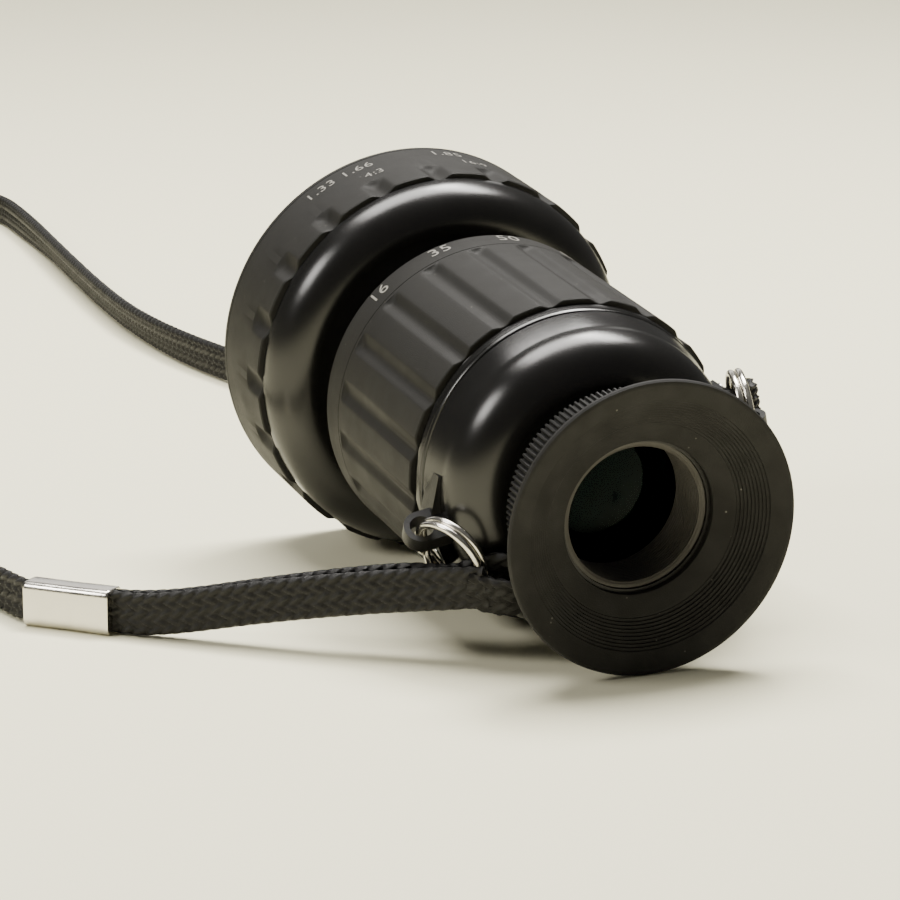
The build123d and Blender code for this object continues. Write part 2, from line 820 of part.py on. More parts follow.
with BuildPart() as crimp_right:
    with BuildSketch(Plane(origin=right_mouth, x_dir=Vector(0, 0, 1), z_dir=right_run)):
        RectangleRounded(crimp_tall, crimp_inner_wide + 2 * crimp_wall, 0.6)
        Rectangle(crimp_inner_tall, crimp_inner_wide, mode=Mode.SUBTRACT)
    extrude(amount=crimp_long)
crimp_right.part.label = "crimp_right"
export_step(crimp_right.part, "parts/crimp_right.step")

# Strap ends: the doubled strap from each split ring to its crimp, and its pressed core inside the crimp.
# Each starts a reach past its ring, which leaves the ring free to swing.
left_reach = 6.6
right_reach = 5.2


def tail_line(eye, hang, mouth):
    far = eye + hang * 2 * ring_mid_r
    return far, (mouth - far).normalized()


left_far, left_tail_run = tail_line(left_eye, left_out, left_mouth)
left_back = strap_wide / 2 * abs(left_tail_run.Z) + 0.5
with BuildPart() as strap_end_left:
    tail_level = left_tail_run.cross(Vector(0, 0, 1)).normalized()
    tail_start = left_far + left_tail_run * left_reach
    with BuildSketch(Plane(origin=tail_start, x_dir=tail_level, z_dir=left_tail_run)):
        Rectangle(2 * strap_thick, strap_wide)
    extrude(amount=(left_mouth - tail_start).length - left_back)
    core_start = left_mouth - left_run * 2 * left_back
    with BuildSketch(Plane(origin=core_start, x_dir=Vector(0, 0, 1), z_dir=left_run)):
        Rectangle(crimp_inner_tall, crimp_inner_wide)
    extrude(amount=crimp_long + 2 * left_back)
strap_end_left.part.label = "strap_end_left"
export_step(strap_end_left.part, "parts/strap_end_left.step")

right_far, right_tail_run = tail_line(right_eye, right_out, right_mouth)
right_back = strap_wide / 2 * abs(right_tail_run.Z) + 0.5
with BuildPart() as strap_end_right:
    tail_level = right_tail_run.cross(Vector(0, 0, 1)).normalized()
    tail_start = right_far + right_tail_run * right_reach
    with BuildSketch(Plane(origin=tail_start, x_dir=tail_level, z_dir=right_tail_run)):
        Rectangle(2 * strap_thick, strap_wide)
    extrude(amount=(right_mouth - tail_start).length - right_back)
    core_start = right_mouth - right_run * 2 * right_back
    with BuildSketch(Plane(origin=core_start, x_dir=Vector(0, 0, 1), z_dir=right_run)):
        Rectangle(crimp_inner_tall, crimp_inner_wide)
    extrude(amount=crimp_long + 2 * right_back)
strap_end_right.part.label = "strap_end_right"
export_step(strap_end_right.part, "parts/strap_end_right.step")

# Strap: one long loop standing on its edge on the table, from crimp to crimp.
strap_points = [
    left_mouth + left_run * (crimp_long + 0.4),
    Vector(-68.6, 20.0, crimp_mid_z),
    Vector(-70.5, 33.0, crimp_mid_z),
    Vector(-72.5, 57.0, crimp_mid_z),
    Vector(-70.0, 99.0, crimp_mid_z),
    Vector(-62.0, 152.0, crimp_mid_z),
    Vector(-51.0, 212.0, crimp_mid_z),
    Vector(-41.5, 262.0, crimp_mid_z),
    Vector(-33.0, 302.0, crimp_mid_z),
    Vector(-24.0, 330.0, crimp_mid_z),
    Vector(-6.0, 347.0, crimp_mid_z),
    Vector(11.0, 345.0, crimp_mid_z),
    Vector(17.0, 330.0, crimp_mid_z),
    Vector(16.0, 312.0, crimp_mid_z),
    Vector(13.5, 281.0, crimp_mid_z),
    Vector(10.0, 250.0, crimp_mid_z),
    Vector(7.4, 225.0, crimp_mid_z),
    Vector(5.4, 199.0, crimp_mid_z),
    Vector(5.8, 173.0, crimp_mid_z),
    Vector(9.0, 150.0, crimp_mid_z),
    Vector(16.0, 119.0, crimp_mid_z),
    Vector(25.0, 89.0, crimp_mid_z),
    Vector(31.5, 62.0, crimp_mid_z),
    right_mouth + right_run * (crimp_long + 0.1),
]
strap_radii = []
for before, here, after in zip(strap_points, strap_points[1:], strap_points[2:]):
    turn = (here - before).get_angle(after - here)
    shorter = min((here - before).length, (after - here).length)
    strap_radii.append(0.45 * shorter / tan(radians(turn) / 2))
print("strap radii", [round(radius, 1) for radius in strap_radii])
with BuildPart() as strap:
    with BuildLine() as strap_path:
        FilletPolyline(*strap_points, radius=strap_radii)
    strap_first = (strap_points[1] - strap_points[0]).normalized()
    with BuildSketch(Plane(origin=strap_points[0], x_dir=Vector(0, 0, 1), z_dir=strap_first)):
        Rectangle(strap_wide, strap_thick)
    sweep(path=strap_path.wires()[0])
strap_length = strap_path.wires()[0].length
print("strap length", round(strap_length, 1))
print("strap volume over section", round(strap.part.volume / (strap_wide * strap_thick), 1))
strap.part.label = "strap"
export_step(strap.part, "parts/strap.step")

# Joint lines for the record.
print("rise", round(degrees(rise), 3))


def rounded(vector):
    return [round(value, 6) for value in (vector.X, vector.Y, vector.Z)]


print("rim", rounded(rim / 1000))
print("ahead", rounded(ahead), "up", rounded(up))
print("left", rounded(left_eye / 1000), rounded(left_axis))
print("right", rounded(right_eye / 1000), rounded(right_axis))
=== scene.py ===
import math

import bmesh
import bpy
import numpy as np
from mathutils import Matrix, Vector


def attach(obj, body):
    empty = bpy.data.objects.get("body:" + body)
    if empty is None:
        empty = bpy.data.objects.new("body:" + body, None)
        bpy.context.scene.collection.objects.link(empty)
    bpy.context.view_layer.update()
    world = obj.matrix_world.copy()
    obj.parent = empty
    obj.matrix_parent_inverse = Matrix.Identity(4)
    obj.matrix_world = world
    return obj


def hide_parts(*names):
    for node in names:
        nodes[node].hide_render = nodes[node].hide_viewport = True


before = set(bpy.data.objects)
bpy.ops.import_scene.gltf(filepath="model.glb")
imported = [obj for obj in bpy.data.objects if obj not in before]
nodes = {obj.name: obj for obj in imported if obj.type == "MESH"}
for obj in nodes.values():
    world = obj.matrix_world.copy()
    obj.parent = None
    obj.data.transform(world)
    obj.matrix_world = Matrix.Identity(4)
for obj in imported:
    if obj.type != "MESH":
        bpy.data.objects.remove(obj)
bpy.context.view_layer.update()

# Camera: long lens, level, seen from behind and to the left of the eyecup.
camera_data = bpy.data.cameras.new("camera")
camera_data.lens = 160.09
camera_data.sensor_width = 36.0
camera_data.clip_start = 0.02
camera_data.clip_end = 20.0
camera = bpy.data.objects.new("camera", camera_data)
bpy.context.scene.collection.objects.link(camera)
camera.matrix_world = Matrix((
    (0.929474, 0.082846, -0.359464, -0.206884),
    (-0.368886, 0.206078, -0.906341, -0.495709),
    (-0.001009, 0.975022, 0.222105, 0.143279),
    (0, 0, 0, 1),
))
bpy.context.scene.camera = camera

# The optical axis, which rises toward the front ring. Stations and radii are in millimetres, the
# stations from the eyecup rim.
rise = math.atan(8.0 / 74.3)
ahead = Vector((0, math.cos(rise), math.sin(rise)))
lift = Vector((0, -math.sin(rise), math.cos(rise)))
rim = Vector((0, -0.044709, 0.019885))


def out(degrees):
    a = math.radians(degrees)
    return lift * math.cos(a) + Vector((1, 0, 0)) * math.sin(a)


def around(degrees):
    a = math.radians(degrees)
    return Vector((1, 0, 0)) * math.cos(a) - lift * math.sin(a)


def at(station, radius, degrees):
    return rim + ahead * (station / 1000) + out(degrees) * (radius / 1000)


def mixed(parts, degrees):
    return (ahead * parts[0] + out(degrees) * parts[1] + around(degrees) * parts[2]).normalized()


def skin(name, loops, close=True, sharp=35):
    """A mesh through rings of points, closed from the last ring back to the first."""
    mesh = bpy.data.meshes.new(name)
    count = len(loops[0])
    points = [tuple(p) for ring in loops for p in ring]
    faces = []
    last = len(loops) if close else len(loops) - 1
    for i in range(last):
        j = (i + 1) % len(loops)
        for k in range(count):
            m = (k + 1) % count
            faces.append((i * count + k, i * count + m, j * count + m, j * count + k))
    if not close:
        faces.append(tuple(range(count)))
        faces.append(tuple((len(loops) - 1) * count + k for k in reversed(range(count))))
    mesh.from_pydata(points, [], faces)
    bm = bmesh.new()
    bm.from_mesh(mesh)
    bmesh.ops.recalc_face_normals(bm, faces=bm.faces)
    bm.to_mesh(mesh)
    bm.free()
    for polygon in mesh.polygons:
        polygon.use_smooth = True
    mesh.set_sharp_from_angle(angle=math.radians(sharp))
    piece = bpy.data.objects.new(name, mesh)
    bpy.context.scene.collection.objects.link(piece)
    return piece


def turned(name, profile, count=256, sharp=35):
    """A ring turned about the optical axis from a closed profile of station and radius."""
    angles = [360 * k / count for k in range(count)]
    return skin(name, [[at(s, r, a) for a in angles] for s, r in profile], sharp=sharp)


def surface(name, dark, light, metal, rough_low, rough_high, grain, bump, scale, dust=0.0, specular=0.5):
    """A plain finish with uneven colour and gloss, a fine grain and a little dust."""
    made = bpy.data.materials.new(name)
    made.use_nodes = True
    tree = made.node_tree
    shader = tree.nodes["Principled BSDF"]
    shader.inputs["Metallic"].default_value = metal
    shader.inputs["Specular IOR Level"].default_value = specular
    place = tree.nodes.new("ShaderNodeTexCoord")
    patches = tree.nodes.new("ShaderNodeTexNoise")
    patches.inputs["Scale"].default_value = scale
    patches.inputs["Detail"].default_value = 6
    tree.links.new(place.outputs["Object"], patches.inputs["Vector"])
    tone = tree.nodes.new("ShaderNodeMix")
    tone.data_type = "RGBA"
    tone.inputs[6].default_value = (*dark, 1)
    tone.inputs[7].default_value = (*light, 1)
    tree.links.new(patches.outputs["Fac"], tone.inputs[0])
    colour = tone.outputs[2]
    if dust:
        specks = tree.nodes.new("ShaderNodeTexVoronoi")
        specks.inputs["Scale"].default_value = 900
        tree.links.new(place.outputs["Object"], specks.inputs["Vector"])
        near = tree.nodes.new("ShaderNodeMapRange")
        near.inputs["From Min"].default_value = 0.16
        near.inputs["From Max"].default_value = 0.08
        tree.links.new(specks.outputs["Distance"], near.inputs["Value"])
        few = tree.nodes.new("ShaderNodeTexNoise")
        few.inputs["Scale"].default_value = 420
        tree.links.new(place.outputs["Object"], few.inputs["Vector"])
        keep = tree.nodes.new("ShaderNodeMapRange")
        keep.inputs["From Min"].default_value = 0.60
        keep.inputs["From Max"].default_value = 0.68
        keep.inputs["To Max"].default_value = dust
        tree.links.new(few.outputs["Fac"], keep.inputs["Value"])
        both = tree.nodes.new("ShaderNodeMath")
        both.operation = "MULTIPLY"
        tree.links.new(near.outputs["Result"], both.inputs[0])
        tree.links.new(keep.outputs["Result"], both.inputs[1])
        dusty = tree.nodes.new("ShaderNodeMix")
        dusty.data_type = "RGBA"
        dusty.inputs[7].default_value = (0.45, 0.43, 0.38, 1)
        tree.links.new(both.outputs[0], dusty.inputs[0])
        tree.links.new(colour, dusty.inputs[6])
        colour = dusty.outputs[2]
    tree.links.new(colour, shader.inputs["Base Color"])
    gloss = tree.nodes.new("ShaderNodeMapRange")
    gloss.inputs["From Min"].default_value = 0.3
    gloss.inputs["From Max"].default_value = 0.7
    gloss.inputs["To Min"].default_value = rough_low
    gloss.inputs["To Max"].default_value = rough_high
    tree.links.new(patches.outputs["Fac"], gloss.inputs["Value"])
    tree.links.new(gloss.outputs["Result"], shader.inputs["Roughness"])
    fine = tree.nodes.new("ShaderNodeTexNoise")
    fine.inputs["Scale"].default_value = grain
    fine.inputs["Detail"].default_value = 3
    tree.links.new(place.outputs["Object"], fine.inputs["Vector"])
    relief = tree.nodes.new("ShaderNodeBump")
    relief.inputs["Strength"].default_value = bump
    relief.inputs["Distance"].default_value = 0.0002
    tree.links.new(fine.outputs["Fac"], relief.inputs["Height"])
    tree.links.new(relief.outputs["Normal"], shader.inputs["Normal"])
    return made


# Strap: a flat braided polyester cord of 16 ends, one loop whose ends fold through the split rings.
# It stands on edge for most of its length and leans a little along the far side.
braid = surface(
    "braid", (0.0046, 0.0043, 0.0041), (0.0095, 0.0089, 0.0083), 0.0, 0.40, 0.55, 9000, 0.4, 700, specular=0.3
)
braid.node_tree.nodes["Principled BSDF"].inputs["Sheen Weight"].default_value = 0.03
braid.node_tree.nodes["Principled BSDF"].inputs["Sheen Roughness"].default_value = 0.4


def along(points, step):
    """Evenly spaced points on a smooth curve that leans on the given points."""
    data = bpy.data.curves.new("route", "CURVE")
    data.dimensions = "3D"
    data.resolution_u = 16
    spline = data.splines.new("NURBS")
    spline.points.add(len(points) - 1)
    for spot, p in zip(spline.points, points):
        spot.co = (*p, 1)
    spline.order_u = 3
    spline.use_endpoint_u = True
    route = bpy.data.objects.new("route", data)
    bpy.context.scene.collection.objects.link(route)
    bpy.context.view_layer.update()
    mesh = bpy.data.meshes.new_from_object(route)
    line = np.array([v.co[:] for v in mesh.vertices])
    bpy.data.objects.remove(route)
    bpy.data.meshes.remove(mesh)
    gaps = np.r_[0, np.cumsum(np.linalg.norm(np.diff(line, axis=0), axis=1))]
    count = max(8, int(gaps[-1] / step))
    want = np.linspace(0, gaps[-1], count + 1)
    return want, np.stack([np.interp(want, gaps, line[:, i]) for i in range(3)], axis=1)


def braided(name, run, line, wide_dir, width, thick, relief, start=0.0):
    """A flat braid along a line: slanted stitches in five rows, leaning alternate ways."""
    tangent = np.gradient(line, axis=0)
    tangent /= np.linalg.norm(tangent, axis=1)[:, None]
    wide = wide_dir - (wide_dir * tangent).sum(1)[:, None] * tangent
    wide /= np.linalg.norm(wide, axis=1)[:, None]
    flat = np.cross(tangent, wide)
    rows = 5
    per_row = 4
    v_up = np.linspace(-0.97, 0.97, rows * per_row + 1)
    v = np.r_[v_up, [1.0, 1.02, 1.0], v_up[::-1], [-1.0, -1.02, -1.0]]
    edge = (1 - np.abs(v_up) ** 10) ** 0.5
    n = np.r_[edge, [0.36, 0.0, -0.36], -edge, [-0.36, 0.0, 0.36]]
    nx = np.where(np.abs(v) >= 0.99, np.sign(v), 0.0)
    ny = np.where(np.abs(v) >= 0.99, 0.0, np.sign(n))
    place = np.clip((v / 0.97 + 1) / 2, 0, 0.9999) * rows
    row = np.floor(place)
    inside = place - row - 0.5
    lean = np.where(row % 2 == 0, 1.0, -1.0)
    side = np.where(n >= 0, 0.0, 0.5)
    u = (run + start)[:, None] / 0.0019
    phase = u + lean * inside * 0.9 + row * 0.5 + side
    along_stitch = 1 - np.abs(2 * (phase - np.floor(phase)) - 1) ** 1.5
    across_stitch = 1 - np.abs(2 * inside) ** 2.4
    grow = relief * (along_stitch * (0.55 + 0.45 * across_stitch) - 0.7)
    body_v = (width / 2)[:, None] * v[None, :] + grow * nx[None, :]
    body_n = (thick / 2) * n[None, :] + grow * ny[None, :]
    points = line[:, None, :] + body_v[..., None] * wide[:, None, :] + body_n[..., None] * flat[:, None, :]
    piece = skin(name, points.tolist(), close=False, sharp=80)
    piece.data.materials.append(braid)
    return piece


left_eye = at(21.5, 24.0, -103)
left_wire = mixed((0.575, 0.034, -0.817), -103)
left_hang = mixed((-0.72, -0.46, -0.53), -103)
left_far = left_eye + left_hang * 0.0104
right_eye = at(21.5, 24.0, 77)
right_wire = mixed((0, 0, 1), 77)
right_hang = mixed((0.968, 0.25, 0), 77)
right_far = right_eye + right_hang * 0.0104
left_mouth = Vector((-0.0576, 0.0027, 0.00313))
left_run = Vector((-0.692, 0.722, 0)).normalized()
right_mouth = Vector((0.0338, 0.0283, 0.00313))
right_run = Vector((-0.1, 0.995, 0)).normalized()
left_pull = (left_mouth - left_far).normalized()
right_pull = (right_mouth - right_far).normalized()
left_side = left_pull.cross(Vector((0, 0, 1))).normalized() * 0.00085
right_side = right_pull.cross(Vector((0, 0, 1))).normalized() * 0.00085
route_mm = [
    (-68.6, 20.0), (-70.5, 33.0), (-72.5, 57.0), (-70.0, 99.0), (-62.0, 152.0), (-51.0, 212.0),
    (-41.5, 262.0), (-33.0, 302.0), (-24.0, 330.0), (-6.0, 347.0), (11.0, 345.0), (17.0, 330.0),
    (16.0, 312.0), (13.5, 281.0), (10.0, 250.0), (7.4, 225.0), (5.4, 199.0), (5.8, 173.0),
    (9.0, 150.0), (16.0, 119.0), (25.0, 89.0), (31.5, 62.0),
]
drop = Vector((0, 0, -0.0010))
stations = [
    left_far - left_pull * 0.0012 - left_side * 2.0 + drop,
    left_far + left_pull * 0.010 - left_side + drop * 0.5,
    left_far.lerp(left_mouth, 0.55) - left_side + Vector((0, 0, -0.0003)),
    left_mouth - left_run * 0.006,
]
stations += [left_mouth, left_mouth + left_run * 0.0125, left_mouth + left_run * 0.0136]
for x, y in route_mm:
    stations.append(Vector((x / 1000, y / 1000, 0.0032)))
stations += [right_mouth + right_run * 0.015, right_mouth + right_run * 0.012, right_mouth]
stations += [right_mouth - right_run * 0.004, right_far.lerp(right_mouth, 0.5) - right_side]
stations += [right_far + right_pull * 0.010 - right_side, right_far + right_pull * 0.0032 - right_side]
run, line = along([tuple(p) for p in stations], 0.0004)
total = run[-1]
far_part = np.clip(np.minimum(line[:, 1] - 0.150, 0.318 - line[:, 1]) / 0.05, 0, 1) * (line[:, 0] > 0)
far_part = far_part * far_part * (3 - 2 * far_part)
tangent = np.gradient(line, axis=0)
tangent /= np.linalg.norm(tangent, axis=1)[:, None]
level = np.cross(tangent, [0, 0, 1.0])
level /= np.linalg.norm(level, axis=1)[:, None]
standing = np.cross(level, tangent)
turn = far_part[:, None] * math.radians(18)
wide_dir = standing * np.cos(turn) + level * np.sin(turn)
near_left = np.clip(1 - run / 0.007, 0, 1)[:, None] * 0.6
near_right = np.clip(1 - (total - run) / 0.009, 0, 1)[:, None]
wide_dir = wide_dir - near_left * np.array(left_wire)[None] * 0.9
wide_dir = wide_dir - near_right * np.array(right_wire)[None] * 0.9
ends = np.minimum(run, total - run)
width = np.where(total - run < 0.012, 0.0048 + 0.0012 * np.clip(ends / 0.012, 0, 1), 0.0060)
in_crimp = np.zeros(len(run), bool)
for mouth, way in ((left_mouth, left_run), (right_mouth, right_run)):
    reach = (line - np.array(mouth)) @ np.array(way)
    close = np.linalg.norm(line - np.array(mouth) - reach[:, None] * np.array(way), axis=1) < 0.003
    in_crimp |= (reach > 0.0002) & (reach < 0.0128) & close
width = np.where(in_crimp, 0.0050, width)
strap = braided("strap_braid", run, line, wide_dir, width, 0.0016, 0.0007)
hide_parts("strap")
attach(strap, "body")

# Strap ends: the last turn of the braid round each split ring, folded back into its crimp.
for name, far, pull, side, wire, hang, mouth, way in (
    ("left", left_far, left_pull, left_side, left_wire, left_hang, left_mouth, left_run),
    ("right", right_far, right_pull, right_side, right_wire, right_hang, right_mouth, right_run),
):
    bend_in = -(pull - wire * pull.dot(wire)).normalized()
    bend_side = wire.cross(bend_in).normalized()
    if bend_side.dot(side) > 0:
        bend_side = -bend_side
    low = drop if name == "left" else Vector((0, 0, 0))
    past = pull * -0.0024 + low if name == "left" else Vector((0, 0, 0))
    fold = [
        far + pull * 0.0016 - side * 2.0 + low,
        far + pull * 0.0010 + bend_side * 0.0019 + past,
        far + bend_side * 0.0022 + bend_in * 0.0004 + past,
        far + bend_in * 0.0026 + bend_side * 0.0018 + past,
        far + bend_in * 0.0029 + past,
        far + bend_in * 0.0026 - bend_side * 0.0018 + past,
        far - bend_side * 0.0022 + bend_in * 0.0004 + past,
        far + pull * 0.0018 - bend_side * 0.0018 + past,
        far + pull * 0.0050 + side * 1.6 + low,
        far + pull * 0.012 + side,
        far.lerp(mouth, 0.55) + side + Vector((0, 0, -0.0003)),
        mouth - way * 0.006 + side * 0.9,
        mouth + way * 0.0004 + side * 0.7,
    ]
    end_run, end_line = along([tuple(p) for p in fold], 0.0003)
    t = np.gradient(end_line, axis=0)
    t /= np.linalg.norm(t, axis=1)[:, None]
    flat_side = np.cross(t, [0, 0, 1.0])
    upright = np.cross(flat_side, t)
    upright /= np.linalg.norm(upright, axis=1)[:, None] + 1e-9
    mix = np.clip((end_run - 0.014) / 0.010, 0.4 if name == "left" else 0.0, 1)[:, None]
    wide = upright * mix - np.array(wire)[None] * (1 - mix)
    first = 0.0058 if name == "left" else 0.0046
    end_width = first + (0.0060 - first) * np.clip((end_run - 0.011) / 0.012, 0, 1)
    piece = braided(
        "strap_end_" + name + "_braid", end_run, end_line, wide, end_width, 0.0015, 0.0007, start=0.0007
    )
    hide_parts("strap_end_" + name)
    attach(piece, "body")

# Floor: a plain pale sheet of paper.
floor_mesh = bpy.data.meshes.new("floor")
floor_mesh.from_pydata([(-4, -3, 0), (4, -3, 0), (4, 6, 0), (-4, 6, 0)], [], [(0, 1, 2, 3)])
floor = bpy.data.objects.new("floor", floor_mesh)
bpy.context.scene.collection.objects.link(floor)
paper = surface(
    "paper", (0.84, 0.805, 0.585), (0.85, 0.815, 0.60), 0.0, 0.75, 0.85, 900, 0.05, 6, specular=0.25
)
floor.data.materials.append(paper)

# Light: a large soft panel overhead, one far behind, two small ones that draw the highlights, and a
# dim room.
world = bpy.data.worlds.new("room")
world.use_nodes = True
world.node_tree.nodes["Background"].inputs["Color"].default_value = (1.0, 0.985, 0.94, 1)
world.node_tree.nodes["Background"].inputs["Strength"].default_value = 0.13
bpy.context.scene.world = world
for name, power, size, spot, aim in (
    ("overhead", 22.0, (0.75, 0.5), (0.0, 0.26, 1.0), (0, 0.05, 0.02)),
    ("key", 7.0, (0.36, 0.16), (0.27, 0.16, 0.66), (0, 0.0, 0.02)),
    ("wash", 6.0, (1.8, 0.8), (0.30, 1.9, 0.75), (0.1, 0.6, 0.0)),
    ("left", 3.0, (0.22, 0.22), (-0.62, -0.02, 0.46), (0, 0, 0.02)),
):
    light_data = bpy.data.lights.new(name, "AREA")
    light_data.shape = "RECTANGLE"
    light_data.size, light_data.size_y = size
    light_data.energy = power
    light_data.color = (1.0, 0.975, 0.93)
    light = bpy.data.objects.new(name, light_data)
    light.location = spot
    light.rotation_mode = "QUATERNION"
    light.rotation_quaternion = (Vector(aim) - Vector(spot)).to_track_quat("-Z", "Y")
    bpy.context.scene.collection.objects.link(light)

# Eyecup: one moulded rubber funnel, matt, with fine moulded steps on its face and a soft rolled lip.
rubber = surface(
    "rubber", (0.0072, 0.0068, 0.0064), (0.0115, 0.0109, 0.0103), 0.0, 0.62, 0.8, 5200, 0.2, 260,
    dust=0.25, specular=0.28,
)
face = [(0.35, 19.98), (0.08, 19.8), (0.0, 19.5), (0.05, 19.2), (0.95, 16.95)]
step_r, step_s = 16.9, 1.05
for index in range(9):
    face += [(step_s, step_r), (step_s + 0.10, step_r - 0.02)]
    face += [(step_s + 0.16, step_r - 0.12), (step_s + 0.18, step_r - 0.36)]
    step_r -= 0.40
    step_s += 0.285
face += [(3.62, 13.25), (3.7, 12.9), (4.55, 10.75), (4.68, 10.5), (4.85, 10.42), (5.4, 10.42), (5.55, 10.5)]
face += [(5.6, 10.8), (5.6, 11.6), (7.0, 11.6), (7.0, 12.9), (6.85, 13.1), (5.8, 13.5)]
face += [(4.6, 15.0), (2.6, 18.2), (1.1, 19.75), (0.7, 20.0)]
eyecup = turned("eyecup_rubber", face, 240, 28)
eyecup.data.materials.append(rubber)
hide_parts("eyecup")
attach(eyecup, "eyepiece")

# Eyepiece tube and its retainer: black anodised aluminium, the inside cut with fine rings against glare.
matt_black = surface(
    "matt_black", (0.006, 0.006, 0.006), (0.012, 0.0115, 0.011), 0.0, 0.42, 0.6, 3000, 0.2, 300, specular=0.4
)
barrel = [(5.6, 10.05), (5.6, 11.45), (5.75, 11.6), (29.8, 11.6), (30, 11.4), (30, 10.05)]
tube = turned("eyepiece_barrel", barrel, 160)
tube.data.materials.append(matt_black)
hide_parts("eyepiece_tube")
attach(tube, "eyepiece")
rings = [(6.0, 9.98), (6.0, 9.6), (6.1, 9.45)]
for index in range(15):
    s = 6.15 + index * 0.51
    rings += [(s, 9.45), (s + 0.12, 9.22), (s + 0.30, 9.22), (s + 0.45, 9.45)]
rings += [(13.9, 9.45), (14.0, 9.55), (14.0, 9.98)]
ringed = turned("ringed_retainer", rings, 160)
ringed_black = surface(
    "ringed_black", (0.028, 0.025, 0.021), (0.040, 0.036, 0.030), 0.0, 0.5, 0.65, 3000, 0.2, 300
)
ringed.data.materials.append(ringed_black)
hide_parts("eye_lens_retainer")
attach(ringed, "eyepiece")

# Lenses: ground and coated crown glass, pressed in behind screwed rings. The glass is given a near-black
# colour, painted shade for the deep bore, and hardly reflects, so that the bore reads as dark.
glass = bpy.data.materials.new("coated_glass")
glass.use_nodes = True
clear = glass.node_tree.nodes["Principled BSDF"]
# Near-black base colour: painted shade that darkens the bore behind the glass.
clear.inputs["Base Color"].default_value = (0.04, 0.09, 0.09, 1)
clear.inputs["Specular Tint"].default_value = (0.01, 0.032, 0.03, 1)
clear.inputs["Specular IOR Level"].default_value = 0.2
clear.inputs["Roughness"].default_value = 0.02
clear.inputs["IOR"].default_value = 1.52
clear.inputs["Transmission Weight"].default_value = 1.0
clear.inputs["Coat Weight"].default_value = 0.02
clear.inputs["Coat Roughness"].default_value = 0.03
clear.inputs["Coat Tint"].default_value = (0.45, 0.95, 0.85, 1)
smear = glass.node_tree.nodes.new("ShaderNodeTexNoise")
smear.inputs["Scale"].default_value = 300
place = glass.node_tree.nodes.new("ShaderNodeTexCoord")
glass.node_tree.links.new(place.outputs["Object"], smear.inputs["Vector"])
haze = glass.node_tree.nodes.new("ShaderNodeMapRange")
haze.inputs["To Min"].default_value = 0.0
haze.inputs["To Max"].default_value = 0.03
glass.node_tree.links.new(smear.outputs["Fac"], haze.inputs["Value"])
glass.node_tree.links.new(haze.outputs["Result"], clear.inputs["Roughness"])
for name in ("eye_lens", "field_lens", "zoom_lens", "objective_lens", "front_glass"):
    nodes[name].data.materials.clear()
    nodes[name].data.materials.append(glass)
    for polygon in nodes[name].data.polygons:
        polygon.use_smooth = True

# Inner metal: turned and blacked aluminium rings, tubes, plates and blades.
for name in (
    "lens_spacer", "field_stop", "main_tube", "zoom_carriage", "zoom_lens_retainer", "objective_retainer",
    "frame_mask", "blade_rails", "upper_blade", "lower_blade", "glass_ring", "ratio_retainer",
):
    nodes[name].data.materials.clear()
    nodes[name].data.materials.append(matt_black)

# Cam sleeve and pins: turned brass. Clip and lug screws: plain steel.
brass = surface("turned_brass", (0.50, 0.36, 0.14), (0.62, 0.46, 0.20), 1.0, 0.25, 0.42, 3000, 0.1, 400)
steel = surface("plain_steel", (0.42, 0.41, 0.39), (0.58, 0.57, 0.54), 1.0, 0.22, 0.38, 4000, 0.1, 600)
for name, finish in (("cam_sleeve", brass), ("cam_pins", brass), ("diopter_clip", steel)):
    nodes[name].data.materials.clear()
    nodes[name].data.materials.append(finish)

# Diopter ring: turned aluminium, blacked, with a fine straight knurl pressed round its edge.
knurl_angles = []
for index in range(120):
    tooth = 3.0 * index
    knurl_angles += [(tooth, 15.0), (tooth + 0.8, 15.0), (tooth + 1.5, 15.4), (tooth + 2.3, 15.4)]
loops = []
for s, shrink in ((9.0, 0.55), (9.25, 0.15), (9.45, 0.0), (12.2, 0.0), (12.4, 0.15), (12.6, 0.5)):
    loops.append([at(s, r - shrink, a) for a, r in knurl_angles])
for s, r in ((12.6, 13.0), (18.65, 13.0), (18.65, 11.66), (9.0, 11.66)):
    loops.append([at(s, r, a) for a, unused in knurl_angles])
knurl = skin("diopter_knurl", loops, sharp=25)
knurl_black = surface(
    "knurl_black", (0.005, 0.005, 0.0045), (0.009, 0.0086, 0.008), 0.0, 0.5, 0.62, 3500, 0.15, 500,
    specular=0.3,
)
knurl.data.materials.append(knurl_black)
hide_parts("diopter_ring")
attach(knurl, "diopter")

# Rear housing: an aluminium cup turned in one piece and finished in satin black lacquer.
satin = surface(
    "satin_black", (0.0035, 0.0034, 0.0032), (0.0060, 0.0057, 0.0052), 0.0, 0.21, 0.26, 7000, 0.06, 120,
    specular=0.5,
)
cup = [(15.15, 13.06), (15.15, 14.3)]
for index in range(1, 15):
    a = math.radians(index * 90 / 14)
    cup.append((21.65 - 6.5 * math.cos(a), 14.3 + 6.5 * math.sin(a)))
cup += [(21.75, 20.83), (25.55, 21.58), (25.68, 21.6), (25.74, 21.5), (25.80, 21.36)]
cup += [(26.02, 21.36), (26.08, 21.5), (26.14, 21.66), (26.24, 21.72), (26.5, 21.8), (26.56, 21.74)]
cup += [(26.62, 21.84), (27.3, 21.98), (27.62, 22.0), (27.76, 21.94), (27.8, 21.8)]
cup += [(27.8, 17.52), (24.3, 17.52), (24.3, 17.0), (17.15, 17.0), (17.15, 13.06)]
housing = turned("rear_cup", cup, 288, 32)
housing.data.materials.append(satin)
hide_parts("rear_housing")
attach(housing, "body")

# Zoom ring: aluminium, bead blasted and anodised grey-black, with twenty straight milled flutes.
ring_black = surface(
    "ring_black", (0.0095, 0.0090, 0.0080), (0.0140, 0.0134, 0.0120), 0.0, 0.56, 0.68, 6500, 0.25, 200,
    dust=0.12, specular=0.2,
)


